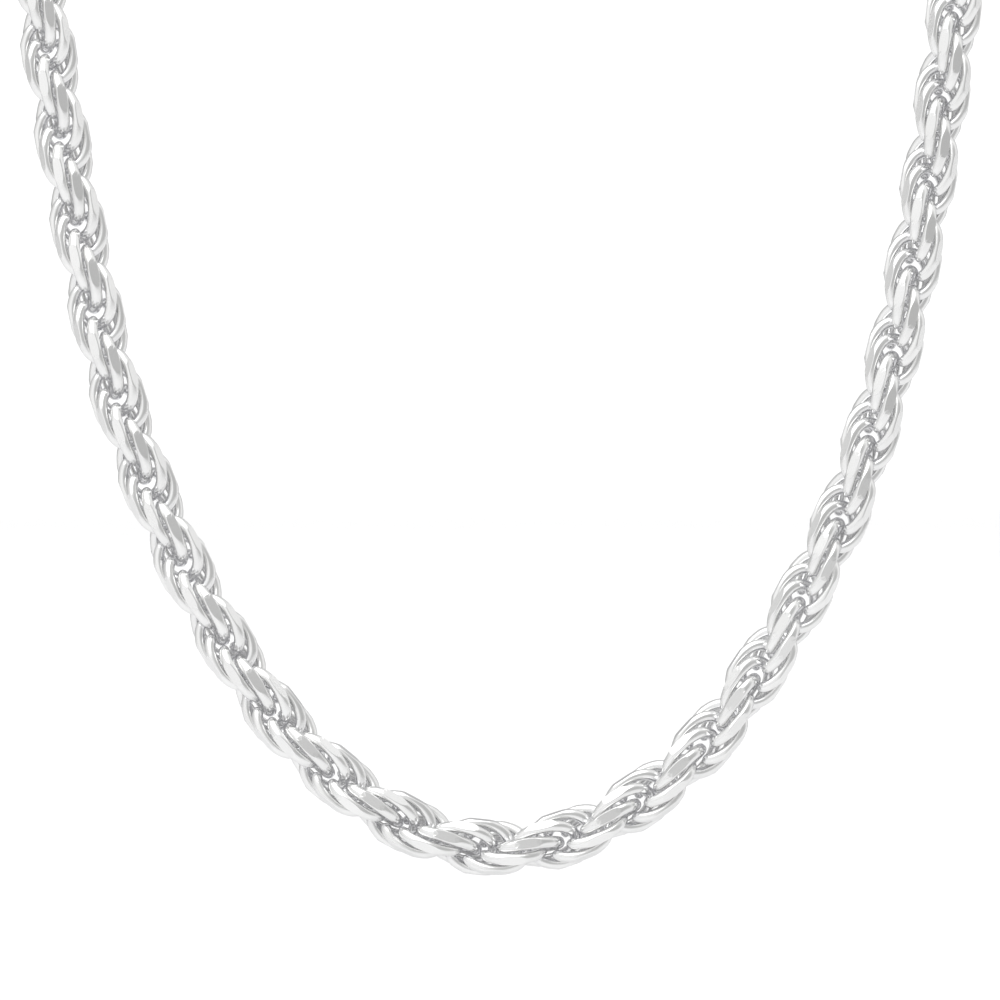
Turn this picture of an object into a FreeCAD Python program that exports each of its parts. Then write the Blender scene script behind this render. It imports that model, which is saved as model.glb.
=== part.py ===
import FreeCAD, Part
import math
import os

# Rope chain necklace, a whole loop as it hangs round a neck.
# Millimetres. +Z is up, -Y is the front, +X is the right side as seen from the front.
# The origin is the nape: the point of the clasp's neck side where the loop is carried.

# Driving dimensions
rope_diameter = 7.0
clasp_length = 16.0
clasp_radius = 4.2
clasp_rim_round = 0.6
socket_depth = 3.0
socket_clearance = 0.1
groove_width = 0.8
groove_depth = 0.3
bend_share = 0.45
loop_length = 508.0

# Centre line of the rope, from the clasp down the right side, round the front and up the left.
# Each row is x, y, z of one corner, and the rope rounds every corner in a tangent arc.
rope_route = [
    (5.0, 4.2, 0.0),
    (18.0, 4.2, 0.0),
    (33.5, -3.0, -3.0),
    (46.0, -15.5, -9.0),
    (54.5, -30.0, -17.0),
    (59.0, -44.5, -26.0),
    (60.0, -54.5, -38.5),
    (58.7, -57.1, -53.0),
    (56.3, -59.6, -69.5),
    (53.3, -62.0, -86.6),
    (49.6, -64.4, -103.1),
    (44.3, -66.7, -119.7),
    (36.4, -68.9, -135.3),
    (26.0, -71.0, -150.7),
    (12.4, -72.4, -160.7),
    (0.0, -72.8, -163.6),
    (-12.3, -72.3, -160.4),
    (-25.9, -70.8, -150.0),
    (-35.8, -68.8, -135.8),
    (-43.7, -66.7, -120.0),
    (-49.6, -64.3, -103.5),
    (-53.4, -62.0, -86.5),
    (-56.4, -59.7, -70.5),
    (-59.0, -57.2, -54.0),
    (-60.1, -54.2, -39.5),
    (-58.8, -44.5, -26.5),
    (-54.0, -30.5, -16.5),
    (-45.5, -16.5, -9.5),
    (-33.0, -4.0, -2.5),
    (-18.0, 4.2, 0.0),
    (-5.0, 4.2, 0.0),
]


def corner_arc(before, corner, after):
    """Arc that rounds a corner: its start, middle and end points and its radius."""
    back = before - corner
    ahead = after - corner
    reach = bend_share * min(back.Length, ahead.Length)
    back.normalize()
    ahead.normalize()
    half_turn = (math.pi - back.getAngle(ahead)) / 2
    radius = reach / math.tan(half_turn)
    inward = back + ahead
    inward.normalize()
    centre = corner + inward * (radius / math.cos(half_turn))
    middle = centre - inward * radius
    return corner + back * reach, middle, corner + ahead * reach, radius


def rounded_path(points):
    """Wire of straight runs joined by tangent arcs, and the arcs' radii."""
    corners = [FreeCAD.Vector(*point) for point in points]
    edges = []
    radii = []
    last = corners[0]
    for before, corner, after in zip(corners, corners[1:], corners[2:]):
        start, middle, end, radius = corner_arc(before, corner, after)
        edges.append(Part.LineSegment(last, start).toShape())
        edges.append(Part.Arc(start, middle, end).toShape())
        radii.append(radius)
        last = end
    edges.append(Part.LineSegment(last, corners[-1]).toShape())
    return Part.Wire(edges), radii


def make_rope(path, diameter):
    """Round solid of the rope's outer diameter along its centre line."""
    first = path.Edges[0]
    start = first.valueAt(first.FirstParameter)
    direction = first.tangentAt(first.FirstParameter)
    section = Part.Wire([Part.Circle(start, direction, diameter / 2).toShape()])
    return path.makePipeShell([section], True, True)


def make_clasp():
    """Barrel across the nape that holds both rope ends in blind sockets."""
    across = FreeCAD.Vector(1, 0, 0)
    left_end = FreeCAD.Vector(-clasp_length / 2, clasp_radius, 0)
    barrel = Part.makeCylinder(clasp_radius, clasp_length, left_end, across)
    rims = [edge for edge in barrel.Edges if isinstance(edge.Curve, Part.Circle)]
    barrel = barrel.makeFillet(clasp_rim_round, rims)
    socket_radius = rope_diameter / 2 + socket_clearance
    for side in (-1, 1):
        mouth = FreeCAD.Vector(side * clasp_length / 2, clasp_radius, 0)
        barrel = barrel.cut(Part.makeCylinder(socket_radius, socket_depth, mouth, across * -side))
    groove_start = FreeCAD.Vector(-groove_width / 2, clasp_radius, 0)
    ring = Part.makeCylinder(clasp_radius + 1, groove_width, groove_start, across)
    core = Part.makeCylinder(clasp_radius - groove_depth, groove_width, groove_start, across)
    return barrel.cut(ring.cut(core))


os.makedirs("parts", exist_ok=True)

rope_path, bend_radii = rounded_path(rope_route)
rope = make_rope(rope_path, rope_diameter)
clasp = make_clasp()

for name, shape in {"rope_chain": rope, "clasp": clasp}.items():
    solid = shape.Solids[0]
    solid.exportStep("parts/" + name + ".step")
    print(name, "valid", solid.isValid(), "solids", len(shape.Solids), "volume", round(solid.Volume, 1))

section_area = math.pi * rope_diameter ** 2 / 4
clasp_span = clasp_length - 2 * socket_depth
print("bend radii", [round(radius, 1) for radius in bend_radii])
print("smallest radius in diameters", round(min(bend_radii) / rope_diameter, 2))
print("rope length", round(rope_path.Length, 1), "section times length", round(section_area * rope_path.Length, 1))
print("whole loop", round(rope_path.Length + clasp_span, 1), "wanted", loop_length)
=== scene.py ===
import math
import random

import bmesh
import bpy
from mathutils import Matrix, Vector


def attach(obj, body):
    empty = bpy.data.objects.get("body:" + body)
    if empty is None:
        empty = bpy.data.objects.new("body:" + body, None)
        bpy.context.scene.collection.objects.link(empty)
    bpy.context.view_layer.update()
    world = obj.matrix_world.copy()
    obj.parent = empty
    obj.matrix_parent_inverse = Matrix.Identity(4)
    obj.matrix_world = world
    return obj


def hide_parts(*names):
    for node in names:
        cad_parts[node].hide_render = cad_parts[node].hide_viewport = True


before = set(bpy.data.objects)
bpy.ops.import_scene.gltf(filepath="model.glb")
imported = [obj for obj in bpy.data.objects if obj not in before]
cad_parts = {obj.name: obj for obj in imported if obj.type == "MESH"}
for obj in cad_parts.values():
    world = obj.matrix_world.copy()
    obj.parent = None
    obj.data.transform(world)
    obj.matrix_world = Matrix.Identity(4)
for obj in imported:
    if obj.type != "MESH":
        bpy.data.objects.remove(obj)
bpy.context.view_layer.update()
scene = bpy.context.scene
print("stage 1: frame loaded")

# Rope chain necklace, hanging as worn. Metres, in the shared frame, with the nape at the origin.

# The rope's route: one row for each corner, from the clasp down the right side and up the left.
ropeRoute = [
    (0.0050, 0.0042, 0.0000),
    (0.0180, 0.0042, 0.0000),
    (0.0335, -0.0030, -0.0030),
    (0.0460, -0.0155, -0.0090),
    (0.0545, -0.0300, -0.0170),
    (0.0590, -0.0445, -0.0260),
    (0.0600, -0.0545, -0.0385),
    (0.0587, -0.0571, -0.0530),
    (0.0563, -0.0596, -0.0695),
    (0.0533, -0.0620, -0.0866),
    (0.0496, -0.0644, -0.1031),
    (0.0443, -0.0667, -0.1197),
    (0.0364, -0.0689, -0.1353),
    (0.0260, -0.0710, -0.1507),
    (0.0124, -0.0724, -0.1607),
    (0.0000, -0.0728, -0.1636),
    (-0.0123, -0.0723, -0.1604),
    (-0.0259, -0.0708, -0.1500),
    (-0.0358, -0.0688, -0.1358),
    (-0.0437, -0.0667, -0.1200),
    (-0.0496, -0.0643, -0.1035),
    (-0.0534, -0.0620, -0.0865),
    (-0.0564, -0.0597, -0.0705),
    (-0.0590, -0.0572, -0.0540),
    (-0.0601, -0.0542, -0.0395),
    (-0.0588, -0.0445, -0.0265),
    (-0.0540, -0.0305, -0.0165),
    (-0.0455, -0.0165, -0.0095),
    (-0.0330, -0.0040, -0.0025),
    (-0.0180, 0.0042, 0.0000),
    (-0.0050, 0.0042, 0.0000),
]

# Where the rings sit: ring number and its distance along the rope, in millimetres
ringStations = [
    (0, 4.8),  # in the clasp's right socket
    (63.3, 145.5),
    (98.3, 224.7),
    (108.4, 246.5),  # the lowest bend
    (118.4, 267.3),
    (133.3, 299.6),
    (163.3, 368.7),
    (218, 492.4),  # in the left socket
]

# Slack or added twist: ring number and degrees
ringTwists = [
    (0, 0.0),
    (82, 0.0),
    (96, -13.5),  # the lowest bend lets the twist open a little
    (121, -13.5),
    (135, 0.0),
    (218, 0.0),
]


# Rope of open rings

rope = {
    "halfWidth": 0.00308,  # of the wire's middle line, across the rope
    "halfLength": 0.0039,  # and along it
    "wireRadius": 0.00074,
    "straightness": 1.4,  # how soon the ring's flanks reach their full length
    "cutRadius": 0.0035,  # how far from the axis the rings are cut flat
    "flatWidth": 0.92,  # share of the cage's cut that stays flat
    "flatLength": 0.84,
    "flankCrease": 1.0,
    "endCrease": 0.42,  # the flats run out softly at their ends
    "openAngle": 19.0,  # half of each ring's opening, in degrees
    "ringTurn": 36.0,  # from one ring to the next, in degrees
    "firstTurn": 63.0,  # of the first ring, from straight ahead
    "wireSides": 6,
    "ringSteps": 12,  # round the ring
    "sectionSpread": 1.2,  # the coarse cage is this much fatter than the smoothed wire
    "cageSpread": 1.035,
    "smoothing": 2,
    "looseTurn": 1.2,  # degrees
    "looseTilt": 1.0,  # degrees
    "seed": 11,
}

# Pieces of the rope: name, first ring, last ring
ropePieces = [
    ("rightBackRings", 0, 50),
    ("rightFrontRings", 51, 108),
    ("leftFrontRings", 109, 166),
    ("leftBackRings", 167, 218),
]


# Points along the smooth spline through the route's corners
def routePoints(corners):
    curve = bpy.data.curves.new("ropeLine", "CURVE")
    curve.dimensions = "3D"
    spline = curve.splines.new("NURBS")
    spline.points.add(len(corners) - 1)
    for point, corner in zip(spline.points, corners):
        point.co = (*corner, 1)
    spline.order_u = 3
    spline.use_endpoint_u = True
    spline.resolution_u = 24
    holder = bpy.data.objects.new("ropeLine", curve)
    mesh = bpy.data.meshes.new_from_object(holder)
    points = [vertex.co.copy() for vertex in mesh.vertices]
    bpy.data.objects.remove(holder)
    bpy.data.curves.remove(curve)
    bpy.data.meshes.remove(mesh)
    return points


# Value that a table of rows gives for a number, in straight steps
def between(table, number):
    for (low, first), (high, second) in zip(table, table[1:]):
        if number <= high:
            return first + (second - first) * (number - low) / (high - low)
    return table[-1][1]


# Matrix of every ring: on the rope's line, its opening ahead, turned from the one before
def ringPlaces(points):
    random.seed(rope["seed"])
    lengths = [0.0]
    for before, after in zip(points, points[1:]):
        lengths.append(lengths[-1] + (after - before).length)
    side = Vector((0, -1, 0))
    along = (points[1] - points[0]).normalized()
    places = []
    step = 0
    for ring in range(ringStations[-1][0] + 1):
        distance = between(ringStations, ring) / 1000  # in metres
        while step < len(points) - 2 and lengths[step + 1] < distance:
            step += 1
            ahead = (points[step + 1] - points[step]).normalized()
            side = along.rotation_difference(ahead) @ side
            along = ahead
        share = (distance - lengths[step]) / (lengths[step + 1] - lengths[step])
        centre = points[step].lerp(points[step + 1], share)
        turn = rope["firstTurn"] - rope["ringTurn"] * ring + between(ringTwists, ring)
        turn += random.uniform(-1, 1) * rope["looseTurn"]
        tilt = random.uniform(-1, 1) * rope["looseTilt"]
        across = Matrix.Rotation(math.radians(turn), 3, along) @ side
        axes = Matrix((across, along.cross(across), along)).transposed().to_4x4()
        tipped = Matrix.Rotation(math.radians(tilt), 4, "Y")
        places.append(Matrix.Translation(centre) @ axes @ tipped)
    return places


# One open ring of round wire, cut flat on both outer sides, in its own X-Z plane
def baseRing():
    bm = bmesh.new()
    start = Matrix.Rotation(math.radians(rope["openAngle"] - 90), 4, "Y")
    centre = Matrix.Translation((rope["halfWidth"] * rope["cageSpread"], 0, 0))
    section = rope["wireRadius"] * rope["sectionSpread"]
    bmesh.ops.create_circle(bm, segments=rope["wireSides"], radius=section, matrix=start @ centre)
    sweep = math.radians(360 - 2 * rope["openAngle"])
    bmesh.ops.spin(bm, geom=bm.verts[:] + bm.edges[:], cent=(0, 0, 0), axis=(0, 1, 0), angle=sweep,
                   steps=rope["ringSteps"])
    for vert in bm.verts:
        reach = rope["straightness"] * vert.co.z / math.hypot(vert.co.x, vert.co.z)
        vert.co.z += (rope["halfLength"] - rope["halfWidth"]) * max(-1, min(1, reach))
    bmesh.ops.holes_fill(bm, edges=[edge for edge in bm.edges if edge.is_boundary])
    creases = bm.edges.layers.float.new("crease_edge")
    for outward in (-1, 1):
        bmesh.ops.bisect_plane(bm, geom=bm.verts[:] + bm.edges[:] + bm.faces[:],
                               plane_co=(outward * rope["cutRadius"], 0, 0), plane_no=(outward, 0, 0),
                               clear_outer=True)
        rim = [edge for edge in bm.edges if edge.is_boundary]
        cut = bmesh.ops.holes_fill(bm, edges=rim)["faces"]
        for face in cut:
            face.material_index = 1
            for vert in face.verts:
                vert.co.y *= rope["flatWidth"]
                vert.co.z *= rope["flatLength"]
        for edge in rim:
            run = edge.verts[1].co - edge.verts[0].co
            edge[creases] = rope["flankCrease"] if abs(run.z) > abs(run.y) / 2 else rope["endCrease"]
    bmesh.ops.recalc_face_normals(bm, faces=bm.faces[:])
    for face in bm.faces:
        face.smooth = face.material_index == 0
    mesh = bpy.data.meshes.new("baseRing")
    bm.to_mesh(mesh)
    bm.free()
    return mesh


# One piece: a copy of the ring at each place, with its depth in the rope kept as an attribute, the mask
# of the painted shade
def joinRings(name, places, ring, materials):
    bm = bmesh.new()
    bm.verts.layers.float.new("outward")
    bm.verts.layers.float.new("tone")
    for place in places:
        known = len(bm.verts)
        bm.from_mesh(ring)
        bm.verts.ensure_lookup_table()
        outward = bm.verts.layers.float["outward"]  # reading in the ring's mesh drops earlier handles
        tone = bm.verts.layers.float["tone"]
        fresh = bm.verts[known:]
        ringTone = random.random()
        for vert in fresh:
            vert[outward] = Vector((vert.co.x, vert.co.y)).length / rope["cutRadius"]
            vert[tone] = ringTone
        bmesh.ops.transform(bm, matrix=place, verts=fresh)
    mesh = bpy.data.meshes.new(name)
    bm.to_mesh(mesh)
    bm.free()
    for material in materials:
        mesh.materials.append(material)
    piece = bpy.data.objects.new(name, mesh)
    scene.collection.objects.link(piece)
    smooth = piece.modifiers.new("smooth", "SUBSURF")
    smooth.levels = rope["smoothing"]
    smooth.render_levels = rope["smoothing"]
    return piece


# Finish

finish = {
    "silver": (0.9, 0.9, 0.895, 1),
    "shade": (0.84, 0.84, 0.85, 1),  # painted shade deep between the rings, where they shade each other
    "edgeTint": (0.9, 0.9, 0.91, 1),  # where a wire turns away from the eye
    "deepBelow": 0.25,  # shares of cutRadius between which the painted shade gives way to the silver
    "clearAbove": 0.75,
    "dullestRing": 0.96,  # brightness from ring to ring, up to 1
    "grainScale": 900.0,
    "scratchScale": 5200.0,
    "scratchDepth": 0.00002,
}

# Polish of each material: its smoothest and roughest places, and how far its scratches show
polish = {
    "wire": {"Smoothest": 0.12, "Roughest": 0.2, "Relief": 0.1},
    "cut": {"Smoothest": 0.12, "Roughest": 0.2, "Relief": 0.1},
    "clasp": {"Smoothest": 0.06, "Roughest": 0.14, "Relief": 0.1},
}


# Empty node group with its sockets, and its input and output nodes
def newGroup(name, inputs, outputs):
    group = bpy.data.node_groups.new(name, "ShaderNodeTree")
    for kind, title, value in inputs:
        socket = group.interface.new_socket(title, in_out="INPUT", socket_type=kind)
        socket.default_value = value
    for kind, title in outputs:
        group.interface.new_socket(title, in_out="OUTPUT", socket_type=kind)
    return group, group.nodes.new("NodeGroupInput"), group.nodes.new("NodeGroupOutput")


# Colour, roughness and relief of polished silver, with painted shade deep in the rope
def silverGroup():
    group, start, end = newGroup(
        "silverFinish",
        [("NodeSocketColor", "Silver", finish["silver"]), ("NodeSocketColor", "Shade", finish["shade"]),
         *[("NodeSocketFloat", title, value) for title, value in polish["wire"].items()]],
        [("NodeSocketColor", "Color"), ("NodeSocketFloat", "Roughness"), ("NodeSocketVector", "Normal")])
    nodes, links = group.nodes, group.links
    place = nodes.new("ShaderNodeTexCoord")
    grain = nodes.new("ShaderNodeTexNoise")
    grain.inputs["Scale"].default_value = finish["grainScale"]
    scratch = nodes.new("ShaderNodeTexNoise")
    scratch.inputs["Scale"].default_value = finish["scratchScale"]
    links.new(place.outputs["Object"], grain.inputs["Vector"])
    links.new(place.outputs["Object"], scratch.inputs["Vector"])
    rough = nodes.new("ShaderNodeMapRange")
    links.new(grain.outputs["Fac"], rough.inputs["Value"])
    links.new(start.outputs["Smoothest"], rough.inputs["To Min"])
    links.new(start.outputs["Roughest"], rough.inputs["To Max"])
    # Painted shade: the Shade colour takes over the nearer a point lies to the rope's axis, where the
    # rings shade each other
    depth = nodes.new("ShaderNodeAttribute")
    depth.attribute_name = "outward"
    deep = nodes.new("ShaderNodeMapRange")
    deep.inputs["From Min"].default_value = finish["deepBelow"]
    deep.inputs["From Max"].default_value = finish["clearAbove"]
    links.new(depth.outputs["Fac"], deep.inputs["Value"])
    mix = nodes.new("ShaderNodeMix")
    mix.data_type = "RGBA"
    links.new(deep.outputs["Result"], mix.inputs["Factor"])
    links.new(start.outputs["Shade"], mix.inputs["A"])
    links.new(start.outputs["Silver"], mix.inputs["B"])
    tone = nodes.new("ShaderNodeAttribute")
    tone.attribute_name = "tone"
    bright = nodes.new("ShaderNodeMapRange")
    bright.inputs["To Min"].default_value = finish["dullestRing"]
    links.new(tone.outputs["Fac"], bright.inputs["Value"])
    toned = nodes.new("ShaderNodeHueSaturation")
    links.new(mix.outputs["Result"], toned.inputs["Color"])
    links.new(bright.outputs["Result"], toned.inputs["Value"])
    bump = nodes.new("ShaderNodeBump")
    bump.inputs["Distance"].default_value = finish["scratchDepth"]
    links.new(scratch.outputs["Fac"], bump.inputs["Height"])
    links.new(start.outputs["Relief"], bump.inputs["Strength"])
    links.new(toned.outputs["Color"], end.inputs["Color"])
    links.new(rough.outputs["Result"], end.inputs["Roughness"])
    links.new(bump.outputs["Normal"], end.inputs["Normal"])
    return group


# Metal that takes its colour, roughness and relief from the group
def silverMaterial(name, group, values):
    material = bpy.data.materials.new(name)
    material.use_nodes = True
    nodes, links = material.node_tree.nodes, material.node_tree.links
    metal = nodes["Principled BSDF"]
    metal.inputs["Metallic"].default_value = 1.0
    metal.inputs["Specular Tint"].default_value = finish["edgeTint"]
    look = nodes.new("ShaderNodeGroup")
    look.node_tree = group
    for title, value in values.items():
        look.inputs[title].default_value = value
    links.new(look.outputs["Color"], metal.inputs["Base Color"])
    links.new(look.outputs["Roughness"], metal.inputs["Roughness"])
    links.new(look.outputs["Normal"], metal.inputs["Normal"])
    return material


silver = silverGroup()
wireSilver = silverMaterial("wireSilver", silver, polish["wire"])
cutSilver = silverMaterial("cutSilver", silver, polish["cut"])

ring = baseRing()
places = ringPlaces(routePoints(ropeRoute))
for name, first, last in ropePieces:
    piece = joinRings(name, places[first:last + 1], ring, [wireSilver, cutSilver])
    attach(piece, "root")
    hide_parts("rope_chain")
print("stage 2: rope of", len(places), "rings,", len(ring.polygons), "faces each")


# Clasp

clasp = {
    "radius": 0.0042,
    "length": 0.016,
    "rimRound": 0.00015,
    "rimSteps": 3,
    "socketWall": 0.0006,
    "socketDepth": 0.003,
    "grooveWidth": 0.0008,
    "grooveDepth": 0.0003,
    "grooveSlope": 0.00005,
    "sides": 48,
}


# Barrel across the nape with a blind socket at each end and a groove round its middle
def claspBarrel(material):
    bm = bmesh.new()
    depth = bm.verts.layers.float.new("outward")
    tone = bm.verts.layers.float.new("tone")
    across = Matrix.Translation((0, clasp["radius"], 0)) @ Matrix.Rotation(math.radians(90), 4, "Y")
    bmesh.ops.create_cone(bm, cap_ends=True, segments=clasp["sides"], radius1=clasp["radius"],
                          radius2=clasp["radius"], depth=clasp["length"], matrix=across)
    for at in (-clasp["grooveWidth"] / 2, clasp["grooveWidth"] / 2):
        bmesh.ops.bisect_plane(bm, geom=bm.verts[:] + bm.edges[:] + bm.faces[:],
                               plane_co=(at, 0, 0), plane_no=(1, 0, 0))
    band = [face for face in bm.faces if abs(face.calc_center_median().x) < clasp["grooveWidth"] / 8]
    bmesh.ops.inset_region(bm, faces=band, thickness=clasp["grooveSlope"], depth=-clasp["grooveDepth"])
    for end in [face for face in bm.faces if len(face.verts) > 4]:
        inward = Vector((-math.copysign(clasp["socketDepth"], end.calc_center_median().x), 0, 0))
        bmesh.ops.inset_region(bm, faces=[end], thickness=clasp["socketWall"])
        floor = bmesh.ops.extrude_face_region(bm, geom=[end])["geom"]
        corners = [item for item in floor if isinstance(item, bmesh.types.BMVert)]
        bmesh.ops.translate(bm, vec=inward, verts=corners)
        bmesh.ops.delete(bm, geom=[end], context="FACES_ONLY")
    bmesh.ops.recalc_face_normals(bm, faces=bm.faces[:])
    for vert in bm.verts:
        vert[depth] = 1.0
        vert[tone] = 0.5
    for face in bm.faces:
        face.smooth = True
    mesh = bpy.data.meshes.new("claspBarrel")
    bm.to_mesh(mesh)
    bm.free()
    mesh.materials.append(material)
    piece = bpy.data.objects.new("claspBarrel", mesh)
    scene.collection.objects.link(piece)
    rim = piece.modifiers.new("rim", "BEVEL")
    rim.width = clasp["rimRound"]
    rim.segments = clasp["rimSteps"]
    rim.limit_method = "ANGLE"
    rim.harden_normals = True
    return piece


claspSilver = silverMaterial("claspSilver", silver, polish["clasp"])
barrel = claspBarrel(claspSilver)
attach(barrel, "root")
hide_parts("clasp")
print("stage 3: clasp")


# Floor, light and camera

studio = {
    "floorHeight": -0.184,
    "floorSize": 400.0,
    "floorSides": 64,
    "floorColor": (0.92, 0.92, 0.925, 1),
    "floorSmoothest": 0.04,
    "floorRoughest": 0.07,
    "floorCloudScale": 3.0,
    "skyStrength": 1.08,
    "card": (0.62, -0.77, 0.12),  # the grey card stands this way, right of the camera
    "sky": [  # place from straight away from the card to straight at it, and brightness
        (0.0, 0.68),
        (0.2, 0.74),
        (0.5, 0.95),
        (0.8, 0.89),
        (0.92, 0.54),
        (1.0, 0.48),
    ],
    "sides": [  # place from beside the necklace to straight behind it, and how much of the light is left
        (0.0, 1.0),
        (0.3, 0.9),
        (0.7, 0.74),
        (1.0, 0.7),
    ],
    "backdropBlend": 0.006,
    "backdrop": 0.992,  # how straight behind the necklace it turns white
    "keyPlace": (-0.3, -0.4, 1.0),
    "keySpread": 64.0,
    "keyStrength": 0.84,
    "lens": 300.0,
    "cameraPlace": (0.0, -1.127, -0.1188),
}


# Wide polished pale floor below the necklace
def paleFloor():
    bm = bmesh.new()
    bmesh.ops.create_circle(bm, cap_ends=True, segments=studio["floorSides"], radius=studio["floorSize"],
                            matrix=Matrix.Translation((0, 0, studio["floorHeight"])))
    mesh = bpy.data.meshes.new("paleFloor")
    bm.to_mesh(mesh)
    bm.free()
    material = bpy.data.materials.new("paleFloor")
    material.use_nodes = True
    nodes, links = material.node_tree.nodes, material.node_tree.links
    place = nodes.new("ShaderNodeTexCoord")
    cloud = nodes.new("ShaderNodeTexNoise")
    cloud.inputs["Scale"].default_value = studio["floorCloudScale"]
    links.new(place.outputs["Object"], cloud.inputs["Vector"])
    rough = nodes.new("ShaderNodeMapRange")
    rough.inputs["To Min"].default_value = studio["floorSmoothest"]
    rough.inputs["To Max"].default_value = studio["floorRoughest"]
    links.new(cloud.outputs["Fac"], rough.inputs["Value"])
    links.new(rough.outputs["Result"], nodes["Principled BSDF"].inputs["Roughness"])
    nodes["Principled BSDF"].inputs["Base Color"].default_value = studio["floorColor"]
    mesh.materials.append(material)
    floor = bpy.data.objects.new("paleFloor", mesh)
    scene.collection.objects.link(floor)


# Colour ramp of greys from a table of places and brightness
def greyRamp(nodes, stops):
    ramp = nodes.new("ShaderNodeValToRGB")
    while len(ramp.color_ramp.elements) < len(stops):
        ramp.color_ramp.elements.new(0.5)
    for stop, (at, bright) in zip(ramp.color_ramp.elements, stops):
        stop.position = at
        stop.color = (bright, bright, bright, 1)
    return ramp


# Soft light all round, with a grey card beside the camera and white behind the necklace
def studioWorld():
    world = bpy.data.worlds.new("studioWorld")
    scene.world = world
    world.use_nodes = True
    nodes, links = world.node_tree.nodes, world.node_tree.links
    place = nodes.new("ShaderNodeTexCoord")
    facing = nodes.new("ShaderNodeVectorMath")
    facing.operation = "DOT_PRODUCT"
    facing.inputs[1].default_value = studio["card"]
    around = nodes.new("ShaderNodeMapRange")
    around.inputs["From Min"].default_value = -1.0
    around.inputs["From Max"].default_value = 1.0
    sky = greyRamp(nodes, studio["sky"])
    sides = greyRamp(nodes, studio["sides"])
    dimmed = nodes.new("ShaderNodeMix")
    dimmed.data_type = "RGBA"
    dimmed.blend_type = "MULTIPLY"
    dimmed.inputs["Factor"].default_value = 1.0
    split = nodes.new("ShaderNodeSeparateXYZ")
    behind = nodes.new("ShaderNodeMapRange")
    behind.inputs["From Min"].default_value = studio["backdrop"] - studio["backdropBlend"]
    behind.inputs["From Max"].default_value = studio["backdrop"]
    mix = nodes.new("ShaderNodeMix")
    mix.data_type = "RGBA"
    mix.inputs["B"].default_value = (1, 1, 1, 1)
    links.new(place.outputs["Generated"], facing.inputs[0])
    links.new(facing.outputs["Value"], around.inputs["Value"])
    links.new(around.outputs["Result"], sky.inputs["Fac"])
    links.new(place.outputs["Generated"], split.inputs["Vector"])
    links.new(split.outputs["Y"], behind.inputs["Value"])
    links.new(behind.outputs["Result"], mix.inputs["Factor"])
    links.new(split.outputs["Y"], sides.inputs["Fac"])
    links.new(sky.outputs["Color"], dimmed.inputs["A"])
    links.new(sides.outputs["Color"], dimmed.inputs["B"])
    links.new(dimmed.outputs["Result"], mix.inputs["A"])
    links.new(mix.outputs["Result"], nodes["Background"].inputs["Color"])
    nodes["Background"].inputs["Strength"].default_value = studio["skyStrength"]


# Broad soft light from far off, aimed at the necklace
def softLight(name, place, spread, strength):
    lamp = bpy.data.lights.new(name, "SUN")
    lamp.energy = strength
    lamp.angle = math.radians(spread)
    holder = bpy.data.objects.new(name, lamp)
    holder.location = place
    holder.rotation_euler = (-Vector(place)).to_track_quat("-Z", "Y").to_euler()
    scene.collection.objects.link(holder)


# Long level lens straight at the front
def mainCamera():
    data = bpy.data.cameras.new("mainCamera")
    data.lens = studio["lens"]
    data.sensor_width = 36.0
    data.clip_start = 0.05
    data.clip_end = 100.0
    camera = bpy.data.objects.new("mainCamera", data)
    camera.location = studio["cameraPlace"]
    camera.rotation_euler = (math.radians(90), 0, 0)
    scene.collection.objects.link(camera)
    scene.camera = camera


paleFloor()
studioWorld()
softLight("keyLight", studio["keyPlace"], studio["keySpread"], studio["keyStrength"])
mainCamera()
scene.view_settings.view_transform = "Standard"
scene.cycles.glossy_bounces = 12
print("stage 4: floor, light and camera")
